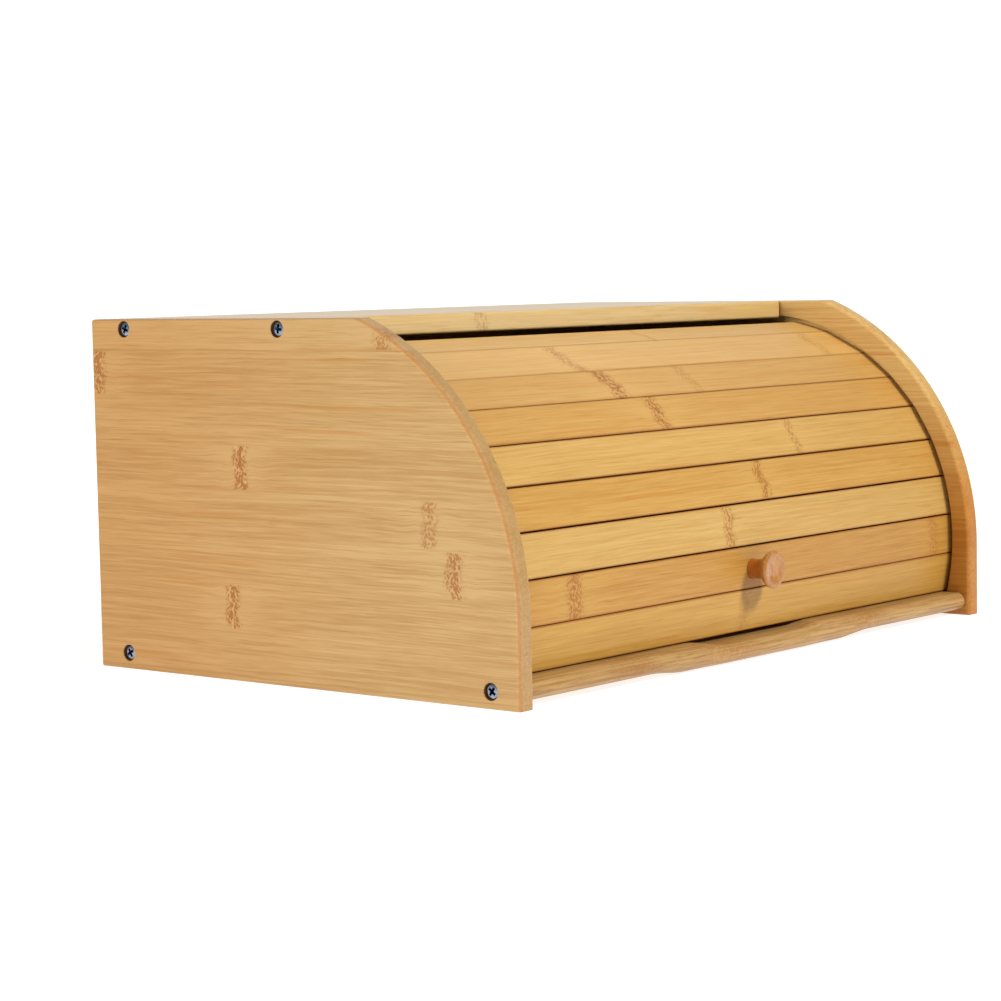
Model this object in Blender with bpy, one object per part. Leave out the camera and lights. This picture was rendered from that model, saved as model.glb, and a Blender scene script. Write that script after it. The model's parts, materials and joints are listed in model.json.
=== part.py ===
"""Bamboo bread box with a roll top.

Two side panels carry a top board, a base board, a front rail and a back panel. The roll top is nine
slats glued to a cloth, with a turned knob on the second slat. Its ends run in a groove that is part of
one circle, so that the whole curtain turns about that circle's centre line.

Metres, +Z up, front at -Y. The origin is under the middle of the object, on the surface it stands on.
"""
import math

import bmesh
import bpy
from mathutils import Matrix, Vector

# Outside of the box
WIDTH = 0.400
DEPTH = 0.270
HEIGHT = 0.173
PANEL_THICK = 0.010
BOARD_THICK = 0.0098
EDGE_ROUND = 0.0016
GAP = 0.0003  # clearance between pieces that touch
OVERCUT = 0.001  # a cutter's reach past the face that it opens

# The knob stands out a little in front of the panels, so the box sits behind the middle
KNOB_PROUD = 0.0003
MID_Y = KNOB_PROUD / 2
FRONT_Y = MID_Y - DEPTH / 2
BACK_Y = MID_Y + DEPTH / 2
PANEL_INNER = WIDTH / 2 - PANEL_THICK
BOARD_HALF = PANEL_INNER - GAP

# Front edge of a side panel: upright, then an arc up to the flat top
ARC_RADIUS = 0.143
ARC_Y = FRONT_Y + ARC_RADIUS
ARC_Z = 0.0395
ARC_STEPS = 22

# Boards
TOP_FRONT_Y = MID_Y - 0.0130
TOP_UNDER = HEIGHT - BOARD_THICK
BASE_UNDER = 0.003
RAIL_FRONT_Y = FRONT_Y + 0.003
RAIL_DEPTH = 0.027
RAIL_TOP = 0.0123
RAIL_NOSE_STEPS = 8
TOP_DIP = 0.0019  # finger hollow in the rail's top
TOP_DIP_ENDS = (0.034, 0.054)
UNDER_DIP = 0.0022  # the rail's underside follows it over a longer stretch
UNDER_DIP_ENDS = (0.066, 0.096)
BACK_THICK = 0.005
BACK_INSET = 0.003  # behind the back panel, to the boards' rear edges
BACK_TONGUE = 0.003  # the back panel's ends reach this far into the side panels

# Curtain: the circle that its outer corners follow
AXIS = Vector((0, MID_Y - 0.0012, 0.0419))
CURTAIN_RADIUS = 0.1209
SLAT_COUNT = 9
SLAT_PITCH = math.radians(10.16)
CURTAIN_START = math.radians(-14.0)  # 0 faces the front, and it grows upwards
TOP_JOINTS = (math.radians(70.0), math.radians(80.0))  # the two uppermost slats are wider than the rest
JOINTS = (*(CURTAIN_START + i * SLAT_PITCH for i in range(SLAT_COUNT - 1)), *TOP_JOINTS)
SLAT_THICK = 0.006
JOINT_GAP = 0.0009  # between the outer edges of two slats
SLAT_TAPER = 0.0003  # a slat's edge leans in by this much towards its back
SLAT_ROUND = 0.0006
SLAT_TONGUE = 0.004  # a slat's ends reach this far into the grooves
GROOVE_DEPTH = 0.0045
GROOVE_INNER = 0.1138
GROOVE_OUTER = 0.1232
GROOVE_ENDS = (math.radians(-14.6), math.radians(168))
GROOVE_STEPS = 62
CLOTH_THICK = 0.0008
CLOTH_HALF = 0.180
CLOTH_MARGIN = math.radians(1.0)

# Knob and its screw
KNOB_SLAT = 2
KNOB_DROP = 0.0010  # below the slat's middle
KNOB_PROFILE = (  # distance from the slat, radius
    (0.0000, 0.0051),
    (0.0020, 0.0049),
    (0.0042, 0.0049),
    (0.0062, 0.0056),
    (0.0078, 0.0070),
    (0.0090, 0.0086),
    (0.0101, 0.0093),
    (0.0115, 0.0094),
    (0.0125, 0.0090),
    (0.0131, 0.0082),
    (0.0133, 0.0070),
    (0.0133, 0.0),
)
KNOB_BORE_DEPTH = 0.0090
KNOB_SCREW_RADIUS = 0.0014
KNOB_SCREW_HEAD = (0.0034, 0.0020)  # radius, height
KNOB_SCREW_TIP = 0.0015
KNOB_SCREW_SPARE = 0.001  # from its tip to the end of its bore
WASHER_RADIUS = 0.0048
WASHER_THICK = 0.0008

# Screws through the side panels: (Y, Z) of each
SCREW_PLACES = {
    "top_back": (MID_Y + 0.1121, HEIGHT - BOARD_THICK / 2),
    "top_front": (MID_Y + 0.0077, HEIGHT - BOARD_THICK / 2),
    "base_back": (MID_Y + 0.1152, BASE_UNDER + BOARD_THICK / 2),
    "base_front": (MID_Y - 0.1180, BASE_UNDER + BOARD_THICK / 2),
}
SCREW_HEAD_RADIUS = 0.0035
SCREW_HEAD_DEPTH = 0.0022
SCREW_RADIUS = 0.0017
SCREW_LENGTH = 0.034
SCREW_TIP = 0.003
SCREW_SINK = 0.0012  # from the panel's outer face down to the head
HOLE_CLEARANCE = 0.0004
ROUND_STEPS = 20

SIDES = {"left": -1, "right": 1}


def clear_scene():
    for obj in list(bpy.data.objects):
        bpy.data.objects.remove(obj)


def make_material(name, colour, roughness, metallic=0.0):
    material = bpy.data.materials.new(name)
    material.use_nodes = True
    shader = material.node_tree.nodes["Principled BSDF"]
    shader.inputs["Base Color"].default_value = (*colour, 1)
    shader.inputs["Roughness"].default_value = roughness
    shader.inputs["Metallic"].default_value = metallic
    return material


def link_object(name, mesh, material=None, parent=None):
    obj = bpy.data.objects.new(name, mesh)
    bpy.context.scene.collection.objects.link(obj)
    if material and not mesh.materials:
        mesh.materials.append(material)
    obj.parent = parent
    return obj


def mesh_from(name, bm, smooth=False):
    bmesh.ops.recalc_face_normals(bm, faces=bm.faces)
    mesh = bpy.data.meshes.new(name)
    bm.to_mesh(mesh)
    bm.free()
    if smooth:
        mesh.shade_smooth()
        mesh.set_sharp_from_angle(angle=math.radians(35))
    return mesh


def prism(name, outline, x_low, x_high):
    """The closed outline of (Y, Z) points, extruded along X."""
    bm = bmesh.new()
    face = bm.faces.new([bm.verts.new((x_low, y, z)) for y, z in outline])
    side = bmesh.ops.extrude_face_region(bm, geom=[face])
    moved = [v for v in side["geom"] if isinstance(v, bmesh.types.BMVert)]
    bmesh.ops.translate(bm, verts=moved, vec=(x_high - x_low, 0, 0))
    return mesh_from(name, bm, smooth=True)


def box_mesh(name, low, high):
    outline = [(low[1], low[2]), (high[1], low[2]), (high[1], high[2]), (low[1], high[2])]
    return prism(name, outline, low[0], high[0])


def turned(name, profile, steps=ROUND_STEPS):
    """The (distance along +Z, radius) profile turned about Z, closed at both ends."""
    bm = bmesh.new()
    points = [(0, profile[0][0])] if profile[0][1] > 0 else []
    points += [(radius, along) for along, radius in profile]
    if profile[-1][1] > 0:
        points.append((0, profile[-1][0]))
    verts = [bm.verts.new((radius, 0, along)) for radius, along in points]
    edges = [bm.edges.new(pair) for pair in zip(verts, verts[1:])]
    bmesh.ops.spin(
        bm,
        geom=verts + edges,
        cent=(0, 0, 0),
        axis=(0, 0, 1),
        angle=2 * math.pi,
        steps=steps,
        use_duplicate=False,
    )
    bmesh.ops.remove_doubles(bm, verts=bm.verts, dist=1e-6)
    return mesh_from(name, bm, smooth=True)


def round_edges(obj, width, segments=2):
    bevel = obj.modifiers.new("Rounded edges", "BEVEL")
    bevel.width = width
    bevel.segments = segments
    bevel.limit_method = "ANGLE"
    bevel.angle_limit = math.radians(25)


def cut(obj, cutter):
    cutter.hide_render = True
    cutter.display_type = "WIRE"
    boolean = obj.modifiers.new("Cut " + cutter.name, "BOOLEAN")
    boolean.operation = "DIFFERENCE"
    boolean.object = cutter


def arc_points(centre, radius, start, end, steps):
    """(Y, Z) points on an arc. Angle 0 faces the front, and it grows upwards."""
    angles = [start + (end - start) * i / steps for i in range(steps + 1)]
    return [(centre[0] - radius * math.cos(a), centre[1] + radius * math.sin(a)) for a in angles]


def panel_outline():
    top_angle = math.asin((HEIGHT - ARC_Z) / ARC_RADIUS)
    arc = arc_points((ARC_Y, ARC_Z), ARC_RADIUS, 0, top_angle, ARC_STEPS)
    return [(FRONT_Y, 0), *arc, (BACK_Y, HEIGHT), (BACK_Y, 0)]


def groove_outline():
    centre = (AXIS.y, AXIS.z)
    start, end = GROOVE_ENDS
    outer = arc_points(centre, GROOVE_OUTER, start, end, GROOVE_STEPS)
    return outer + arc_points(centre, GROOVE_INNER, end, start, GROOVE_STEPS)


def screw_profile(grow=0.0):
    """From the panel's outer face inwards. grow widens it into the hole that the screw sits in."""
    top = -OVERCUT if grow else SCREW_SINK
    head = SCREW_HEAD_RADIUS + grow
    shank = SCREW_RADIUS + grow
    return (
        (top, head),
        (SCREW_SINK + 2 * grow, head),
        (SCREW_SINK + SCREW_HEAD_DEPTH + grow, shank),
        (SCREW_LENGTH - SCREW_TIP + grow, shank),
        (SCREW_LENGTH + grow, 0.0),
    )


def screw_matrix(side, place):
    """Puts a turned shape's +Z along the screw, pointing into the box."""
    y, z = SCREW_PLACES[place]
    turn = Matrix.Rotation(-side * math.pi / 2, 4, "Y")
    return Matrix.Translation((side * WIDTH / 2, y, z)) @ turn


def make_hole_cutters():
    mesh = turned("screw_hole", screw_profile(HOLE_CLEARANCE))
    cutters = {}
    for side_name, side in SIDES.items():
        for place in SCREW_PLACES:
            cutter = link_object(f"hole_{side_name}_{place}", mesh)
            cutter.matrix_world = screw_matrix(side, place)
            cutters[side_name, place] = cutter
    return cutters


def make_side_panels(material, holes):
    for side_name, side in SIDES.items():
        ends = sorted((side * WIDTH / 2, side * PANEL_INNER))
        mesh = prism(f"side_panel_{side_name}", panel_outline(), *ends)
        panel = link_object(f"side_panel_{side_name}", mesh, material)
        round_edges(panel, EDGE_ROUND)
        groove_ends = sorted((side * (PANEL_INNER - OVERCUT), side * (PANEL_INNER + GROOVE_DEPTH)))
        cut(panel, link_object(f"groove_{side_name}", prism("groove", groove_outline(), *groove_ends)))
        slot_ends = sorted((side * (PANEL_INNER - OVERCUT), side * (PANEL_INNER + BACK_TONGUE + GAP)))
        y_low = BACK_Y - BACK_INSET - BACK_THICK - GAP
        low = (slot_ends[0], y_low, BASE_UNDER + BOARD_THICK)
        high = (slot_ends[1], BACK_Y - BACK_INSET + GAP, TOP_UNDER)
        cut(panel, link_object(f"back_slot_{side_name}", box_mesh("back_slot", low, high)))
        for place in SCREW_PLACES:
            cut(panel, holes[side_name, place])


def make_board(name, y_range, z_range, material):
    low = (-BOARD_HALF, y_range[0], z_range[0])
    high = (BOARD_HALF, y_range[1], z_range[1])
    board = link_object(name, box_mesh(name, low, high), material)
    round_edges(board, EDGE_ROUND / 2, segments=1)
    return board


def make_boards(material, holes):
    top = make_board("top_board", (TOP_FRONT_Y, BACK_Y), (TOP_UNDER, HEIGHT), material)
    base_front = RAIL_FRONT_Y + RAIL_DEPTH + GAP
    base_top = BASE_UNDER + BOARD_THICK
    base = make_board("base_board", (base_front, BACK_Y), (BASE_UNDER, base_top), material)
    for side_name in SIDES:
        cut(top, holes[side_name, "top_back"])
        cut(top, holes[side_name, "top_front"])
        cut(base, holes[side_name, "base_back"])


def make_back_panel(material):
    half = PANEL_INNER + BACK_TONGUE
    front = BACK_Y - BACK_INSET - BACK_THICK
    low = (-half, front, BASE_UNDER + BOARD_THICK + GAP)
    high = (half, front + BACK_THICK, TOP_UNDER - GAP)
    link_object("back_panel", box_mesh("back_panel", low, high), material)


def smooth_dip(x, depth, ends):
    """depth over the middle, easing to nothing between the two distances from it."""
    t = min(max((abs(x) - ends[0]) / (ends[1] - ends[0]), 0), 1)
    return depth * (1 - t * t * (3 - 2 * t))


def rail_section(x):
    """The rail's outline at x: flat at the back, half round in front."""
    top = RAIL_TOP - smooth_dip(x, TOP_DIP, TOP_DIP_ENDS)
    under = BASE_UNDER - smooth_dip(x, UNDER_DIP, UNDER_DIP_ENDS)
    middle, radius = (top + under) / 2, (top - under) / 2
    nose = arc_points((RAIL_FRONT_Y + radius, middle), radius, -math.pi / 2, math.pi / 2, RAIL_NOSE_STEPS)
    back = RAIL_FRONT_Y + RAIL_DEPTH
    return [*nose, (back, top), (back, under)]


def make_front_rail(material, holes):
    stations = {0.0, BOARD_HALF}
    for low, high in (TOP_DIP_ENDS, UNDER_DIP_ENDS):
        stations.update(low + (high - low) * i / 5 for i in range(6))
    ordered = sorted({-x for x in stations} | stations)
    bm = bmesh.new()
    loops = [[bm.verts.new((x, y, z)) for y, z in rail_section(x)] for x in ordered]
    for first, second in zip(loops, loops[1:]):
        for i in range(len(first)):
            j = (i + 1) % len(first)
            bm.faces.new((first[i], first[j], second[j], second[i]))
    bm.faces.new(loops[0])
    bm.faces.new(loops[-1])
    rail = link_object("front_rail", mesh_from("front_rail", bm, smooth=True), material)
    for side_name in SIDES:
        cut(rail, holes[side_name, "base_front"])


def make_screws(material):
    mesh = turned("panel_screw", screw_profile())
    for side_name, side in SIDES.items():
        for place in SCREW_PLACES:
            screw = link_object(f"screw_{side_name}_{place}", mesh, material)
            screw.matrix_world = screw_matrix(side, place)


def slat_angle(number):
    return (JOINTS[number - 1] + JOINTS[number]) / 2


def slat_half_width(number):
    return CURTAIN_RADIUS * math.sin((JOINTS[number] - JOINTS[number - 1]) / 2) - JOINT_GAP / 2


def slat_face(number):
    """From the axis to the slat's face, so that its outer corners are on the curtain's circle."""
    return math.sqrt(CURTAIN_RADIUS**2 - slat_half_width(number) ** 2)


def slat_back(number):
    return slat_face(number) - SLAT_THICK


def slat_outline(number):
    """A slat that faces the front, about the curtain's axis, with its two outer edges rounded."""
    outer = slat_half_width(number)
    inner = outer - SLAT_TAPER
    y = -slat_face(number) + SLAT_ROUND
    upper = arc_points((y, outer - SLAT_ROUND), SLAT_ROUND, 0, math.pi / 2, 3)
    lower = arc_points((y, SLAT_ROUND - outer), SLAT_ROUND, -math.pi / 2, 0, 3)
    back = -slat_back(number)
    return [*lower, *upper, (back, inner), (back, -inner)]


def make_slats(material, axis):
    half = PANEL_INNER + SLAT_TONGUE
    slats = {}
    for number in range(1, SLAT_COUNT + 1):
        name = f"slat_{number}"
        slat = link_object(name, prism(name, slat_outline(number), -half, half), material, parent=axis)
        slat.rotation_euler.x = -slat_angle(number)
        slats[number] = slat
    return slats


def make_cloth(material, axis):
    """One cloth behind all the slats, folded along their joins."""
    angles = [JOINTS[0] + CLOTH_MARGIN, *JOINTS[1:-1], JOINTS[-1] - CLOTH_MARGIN]

    def layer(inset):
        points = []
        for i, angle in enumerate(angles):
            beside = {max(i, 1), min(i + 1, SLAT_COUNT)}
            radius = min((slat_back(n) - inset) / math.cos(angle - slat_angle(n)) for n in beside)
            points.append((-radius * math.cos(angle), radius * math.sin(angle)))
        return points

    outline = layer(GAP) + layer(GAP + CLOTH_THICK)[::-1]
    mesh = prism("backing_cloth", outline, -CLOTH_HALF, CLOTH_HALF)
    return link_object("backing_cloth", mesh, material, parent=axis)


def knob_matrix(distance):
    """Local +Z points straight out of the knob's slat, from this distance in front of the axis."""
    outwards = Matrix.Rotation(math.pi / 2, 4, "X")
    tilt = Matrix.Rotation(-slat_angle(KNOB_SLAT), 4, "X")
    return tilt @ Matrix.Translation((0, -distance, -KNOB_DROP)) @ outwards


def place_on_axis(obj, axis, distance):
    obj.parent = axis
    obj.matrix_local = knob_matrix(distance)


def make_knob(wood, steel, axis, slat, cloth):
    knob_foot = slat_face(KNOB_SLAT) + GAP
    knob = link_object("knob", turned("knob", KNOB_PROFILE, steps=28), wood)
    place_on_axis(knob, axis, knob_foot)

    washer_back = slat_back(KNOB_SLAT) - CLOTH_THICK - 2 * GAP - WASHER_THICK
    head_radius, head_height = KNOB_SCREW_HEAD
    screw_seat = washer_back - GAP
    shank_end = knob_foot + KNOB_BORE_DEPTH - KNOB_SCREW_SPARE - screw_seat
    screw_shape = (
        (-head_height, head_radius * 0.7),
        (-head_height * 0.6, head_radius),
        (0, head_radius),
        (0, KNOB_SCREW_RADIUS),
        (shank_end - KNOB_SCREW_TIP, KNOB_SCREW_RADIUS),
        (shank_end, 0),
    )
    screw = link_object("knob_screw", turned("knob_screw", screw_shape, steps=16), steel)
    place_on_axis(screw, axis, screw_seat)

    washer_shape = ((0, WASHER_RADIUS), (WASHER_THICK, WASHER_RADIUS))
    washer = link_object("knob_washer", turned("knob_washer", washer_shape), steel)
    place_on_axis(washer, axis, washer_back)

    bore_radius = KNOB_SCREW_RADIUS + HOLE_CLEARANCE
    bore_length = knob_foot + KNOB_BORE_DEPTH - washer_back + OVERCUT
    bore_shape = ((0, bore_radius), (bore_length, bore_radius))
    bore = link_object("knob_bore", turned("knob_bore", bore_shape, steps=16))
    place_on_axis(bore, axis, washer_back - OVERCUT)
    for piece in (knob, slat, cloth, washer):
        cut(piece, bore)


def build():
    clear_scene()
    panel_bamboo = make_material("panel_bamboo", (0.72, 0.46, 0.22), 0.45)
    board_bamboo = make_material("board_bamboo", (0.74, 0.49, 0.25), 0.45)
    slat_bamboo = make_material("slat_bamboo", (0.74, 0.46, 0.16), 0.40)
    knob_wood = make_material("knob_wood", (0.52, 0.24, 0.08), 0.25)
    steel = make_material("screw_steel", (0.55, 0.60, 0.66), 0.30, metallic=1.0)
    cloth_weave = make_material("cloth", (0.62, 0.56, 0.44), 0.90)

    holes = make_hole_cutters()
    make_side_panels(panel_bamboo, holes)
    make_boards(board_bamboo, holes)
    make_back_panel(board_bamboo)
    make_front_rail(board_bamboo, holes)
    make_screws(steel)

    axis = bpy.data.objects.new("curtain_axis", None)
    axis.location = AXIS
    bpy.context.scene.collection.objects.link(axis)
    slats = make_slats(slat_bamboo, axis)
    cloth = make_cloth(cloth_weave, axis)
    make_knob(knob_wood, steel, axis, slats[KNOB_SLAT], cloth)


build()
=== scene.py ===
"""Looks of the bamboo bread box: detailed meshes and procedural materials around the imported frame.

Metres, +Z up, front at -Y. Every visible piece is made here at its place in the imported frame, and carries
a point attribute, grain = (along the fibres, across them, into the board), which its material reads.
"""
import json
import math

import bmesh
import bpy
import numpy as np
from mathutils import Matrix, Vector


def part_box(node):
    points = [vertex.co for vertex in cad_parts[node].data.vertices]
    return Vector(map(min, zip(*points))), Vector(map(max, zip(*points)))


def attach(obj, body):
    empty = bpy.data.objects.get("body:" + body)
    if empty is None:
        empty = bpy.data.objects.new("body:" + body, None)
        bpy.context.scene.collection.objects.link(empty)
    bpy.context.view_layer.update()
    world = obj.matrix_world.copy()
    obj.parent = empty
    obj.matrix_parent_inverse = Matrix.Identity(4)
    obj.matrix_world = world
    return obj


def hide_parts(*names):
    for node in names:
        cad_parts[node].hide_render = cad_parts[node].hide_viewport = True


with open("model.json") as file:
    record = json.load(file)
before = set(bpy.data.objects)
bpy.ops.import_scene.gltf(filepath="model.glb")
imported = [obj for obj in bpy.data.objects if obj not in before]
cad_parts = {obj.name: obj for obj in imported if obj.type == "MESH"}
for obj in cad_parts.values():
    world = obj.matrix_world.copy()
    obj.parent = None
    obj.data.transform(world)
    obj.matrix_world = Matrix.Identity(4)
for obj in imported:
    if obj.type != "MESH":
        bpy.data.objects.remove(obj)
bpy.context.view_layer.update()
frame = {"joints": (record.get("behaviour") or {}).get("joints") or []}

# Places that the frame states
AXIS = Vector(frame["joints"][0]["pos_m"])
PANEL_LOW, PANEL_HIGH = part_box("side_panel_right")
FRONT_Y, BACK_Y, HEIGHT = PANEL_LOW.y, PANEL_HIGH.y, PANEL_HIGH.z
OUTER_X, INNER_X = PANEL_HIGH.x, PANEL_LOW.x
MID_Y = (FRONT_Y + BACK_Y) / 2
SAME_PLACE = 1e-5  # points closer than this are one point

# Side panel
ARC_RADIUS = 0.143
ARC_CENTRE = (FRONT_Y + ARC_RADIUS, 0.0395)
FRONT_ROUND = 0.0024
OTHER_ROUND = 0.0009

# Curtain
SLAT_COUNT = 9
SLAT_PITCH = math.radians(10.16)
CURTAIN_START = math.radians(-14.0)
TOP_JOINTS = (math.radians(70.0), math.radians(80.0))
JOINTS = (*(CURTAIN_START + i * SLAT_PITCH for i in range(SLAT_COUNT - 1)), *TOP_JOINTS)
JOINT_GAPS = (0.0003, 0.0004, 0.0008, 0.0009, 0.0009, 0.0006, 0.0004, 0.0003, 0.0002, 0.0009)
CURTAIN_RADIUS = 0.1209  # to the outer corners of slats with a joint of FRAME_JOINT_GAP between them
FRAME_JOINT_GAP = 0.0009
SLAT_THICK = 0.006
GROOVE_DEPTH = 0.0045
GROOVE_RADII = (0.1138, 0.1232)
GROOVE_ENDS = (math.radians(-14.6), math.radians(168))
CLOTH_THICK = 0.0008
CLOTH_MARGIN = math.radians(1.0)
GAP = 0.0003

# Front rail
RAIL_LOW, RAIL_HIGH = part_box("front_rail")
RAIL_UNDER = 0.003
TOP_DIP, TOP_DIP_ENDS = 0.0019, (0.034, 0.054)
UNDER_DIP, UNDER_DIP_ENDS = 0.0022, (0.066, 0.096)

# Knob
KNOB_SLAT = 2
KNOB_DROP = 0.0010
KNOB_PROFILE = (
    (0.0000, 0.0051),
    (0.0020, 0.0049),
    (0.0044, 0.0049),
    (0.0064, 0.0052),
    (0.0080, 0.0060),
    (0.0093, 0.0074),
    (0.0104, 0.0087),
    (0.0114, 0.0093),
    (0.0123, 0.0094),
    (0.0130, 0.0089),
    (0.0133, 0.0080),
    (0.0132, 0.0064),
    (0.0128, 0.0036),
    (0.0127, 0.0012),
    (0.0127, 0.0),
)
KNOB_BORE = (0.0018, 0.0090)  # radius, depth


# ---------------------------------------------------------------- meshes


def link_piece(name, mesh):
    obj = bpy.data.objects.new(name, mesh)
    bpy.context.scene.collection.objects.link(obj)
    return obj


def mesh_from(name, bm):
    bmesh.ops.recalc_face_normals(bm, faces=bm.faces)
    mesh = bpy.data.meshes.new(name)
    bm.to_mesh(mesh)
    bm.free()
    return mesh


def apply_modifiers(obj):
    graph = bpy.context.evaluated_depsgraph_get()
    mesh = bpy.data.meshes.new_from_object(obj.evaluated_get(graph), depsgraph=graph)
    obj.modifiers.clear()
    obj.data = mesh


def cut(obj, cutters):
    """Takes the cutters out of obj and removes them."""
    for cutter in cutters:
        boolean = obj.modifiers.new("Cut", "BOOLEAN")
        boolean.object = cutter
    bpy.context.view_layer.update()
    apply_modifiers(obj)
    for cutter in cutters:
        bpy.data.objects.remove(cutter)


def arc(centre, radius, start, end, steps):
    """(Y, Z) points. Angle 0 faces the front, and it grows upwards."""
    angles = [start + (end - start) * i / steps for i in range(steps + 1)]
    return [(centre[0] - radius * math.cos(a), centre[1] + radius * math.sin(a)) for a in angles]


def bridge(bm, rings):
    """Faces from each ring of vertices to the next."""
    for first, second in zip(rings, rings[1:]):
        for i in range(len(first)):
            j = (i + 1) % len(first)
            bm.faces.new((first[i], first[j], second[j], second[i]))


def loft(name, loops):
    """A closed mesh through loops that all have the same number of points."""
    bm = bmesh.new()
    rings = [[bm.verts.new(point) for point in loop] for loop in loops]
    bridge(bm, rings)
    bm.faces.new(rings[0])
    bm.faces.new(rings[-1])
    return mesh_from(name, bm)


def prism(name, outline, x_low, x_high):
    return loft(name, [[(x, y, z) for y, z in outline] for x in (x_low, x_high)])


def turned(name, profile, steps=64, frame_matrix=None):
    """The (distance along +Z, radius) profile turned about Z. Both its ends are on the axis."""
    bm = bmesh.new()
    ends = [bm.verts.new((0, 0, profile[0][0])), bm.verts.new((0, 0, profile[-1][0]))]
    turns = [2 * math.pi * i / steps for i in range(steps)]
    rings = [
        [bm.verts.new((radius * math.cos(t), radius * math.sin(t), along)) for t in turns]
        for along, radius in profile[1:-1]
    ]
    bridge(bm, rings)
    for i in range(steps):
        j = (i + 1) % steps
        bm.faces.new((ends[0], rings[0][j], rings[0][i]))
        bm.faces.new((ends[1], rings[-1][i], rings[-1][j]))
    if frame_matrix is not None:
        bm.transform(frame_matrix)
    return mesh_from(name, bm)


def smooth_profile(points, per_span=6):
    """More points between the given ones, on a Catmull-Rom curve."""
    padded = [points[0], *points, points[-1]]
    found = []
    for i in range(1, len(padded) - 2):
        a, b, c, d = (np.array(p) for p in padded[i - 1 : i + 3])
        for t in np.arange(per_span) / per_span:
            found.append(tuple(0.5 * (2 * b + (c - a) * t + (2 * a - 5 * b + 4 * c - d) * t**2
                                      + (3 * b - a - 3 * c + d) * t**3)))
    return [*found, points[-1]]


def set_grain(mesh, to_grain):
    """Stores each vertex's place in the board's own frame, in metres."""
    points = np.empty(len(mesh.vertices) * 3, np.float32)
    mesh.vertices.foreach_get("co", points)
    matrix = np.array(to_grain)
    grain = points.reshape(-1, 3) @ matrix[:3, :3].T + matrix[:3, 3]
    attribute = mesh.attributes.new("grain", "FLOAT_VECTOR", "POINT")
    attribute.data.foreach_set("vector", grain.astype(np.float32).ravel())


def finish_piece(obj, body, node, material, to_grain, sharp_deg=32):
    set_grain(obj.data, to_grain)
    if not obj.data.materials:
        obj.data.materials.append(material)
    obj.data.shade_smooth()
    obj.data.set_sharp_from_angle(angle=math.radians(sharp_deg))
    even = obj.modifiers.new("Even shading", "WEIGHTED_NORMAL")
    even.keep_sharp = True
    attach(obj, body)
    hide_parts(node)


# ---------------------------------------------------------------- materials


class Graph:
    """Adds shader nodes to a new material. An input is a socket or a plain value."""

    def __init__(self, name):
        self.material = bpy.data.materials.new(name)
        self.material.use_nodes = True
        self.tree = self.material.node_tree
        self.shader = self.tree.nodes["Principled BSDF"]

    def put(self, socket, value):
        if isinstance(value, bpy.types.NodeSocket):
            self.tree.links.new(value, socket)
        else:
            socket.default_value = value

    def node(self, kind, inputs, **settings):
        made = self.tree.nodes.new("ShaderNode" + kind)
        for name, value in settings.items():
            setattr(made, name, value)
        for socket, value in inputs.items():
            self.put(made.inputs[socket], value)
        return made

    def math(self, operation, a, b=0.0, c=0.0):
        return self.node("Math", {0: a, 1: b, 2: c}, operation=operation).outputs[0]

    def vector(self, x, y, z):
        return self.node("CombineXYZ", {0: x, 1: y, 2: z}).outputs[0]

    def noise(self, vector, detail=2.0, roughness=0.5):
        inputs = {"Vector": vector, "Scale": 1.0, "Detail": detail, "Roughness": roughness}
        return self.node("TexNoise", inputs).outputs["Fac"]

    def rise(self, value, low, high, to_low=0.0, to_high=1.0):
        """A smooth step from to_low to to_high as value goes from low to high."""
        inputs = {"Value": value, "From Min": low, "From Max": high, "To Min": to_low, "To Max": to_high}
        return self.node("MapRange", inputs, interpolation_type="SMOOTHSTEP").outputs["Result"]

    def mix(self, factor, a, b):
        made = self.tree.nodes.new("ShaderNodeMix")
        made.data_type = "RGBA"
        self.put(made.inputs[0], factor)
        for socket, value in ((made.inputs[6], a), (made.inputs[7], b)):
            self.put(socket, (*value, 1) if isinstance(value, tuple) else value)
        return made.outputs[2]

    def step(self, value, levels):
        """Goes through the levels in even steps as value goes from 0 to 1."""
        made = self.node("ValToRGB", {0: value})
        ramp = made.color_ramp
        ramp.interpolation = "CONSTANT"
        ramp.elements[1].position = (len(levels) - 1) / len(levels)
        for i in range(1, len(levels) - 1):
            ramp.elements.new(i / len(levels))
        for element, level in zip(ramp.elements, levels):
            element.color = (level, level, level, 1)
        return made.outputs[0]

    def grain(self):
        """The three sockets of the grain attribute."""
        attribute = self.node("Attribute", {}, attribute_name="grain")
        split = self.node("SeparateXYZ", {0: attribute.outputs["Vector"]})
        return split.outputs[0], split.outputs[1], split.outputs[2]

    def bump(self, height, strength, distance):
        made = self.node("Bump", {"Strength": strength, "Distance": distance, "Height": height})
        self.put(self.shader.inputs["Normal"], made.outputs["Normal"])

    def set(self, **values):
        for name, value in values.items():
            self.put(self.shader.inputs[name.replace("_", " ")], value)


def scaled(graph, u, v, w, factors, shift=0.0):
    """The grain place stretched by three factors per metre, moved by a shift that keeps boards apart."""
    parts = [graph.math("MULTIPLY_ADD", axis, factor, shift) for axis, factor in zip((u, v, w), factors)]
    return graph.vector(*parts)


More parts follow.
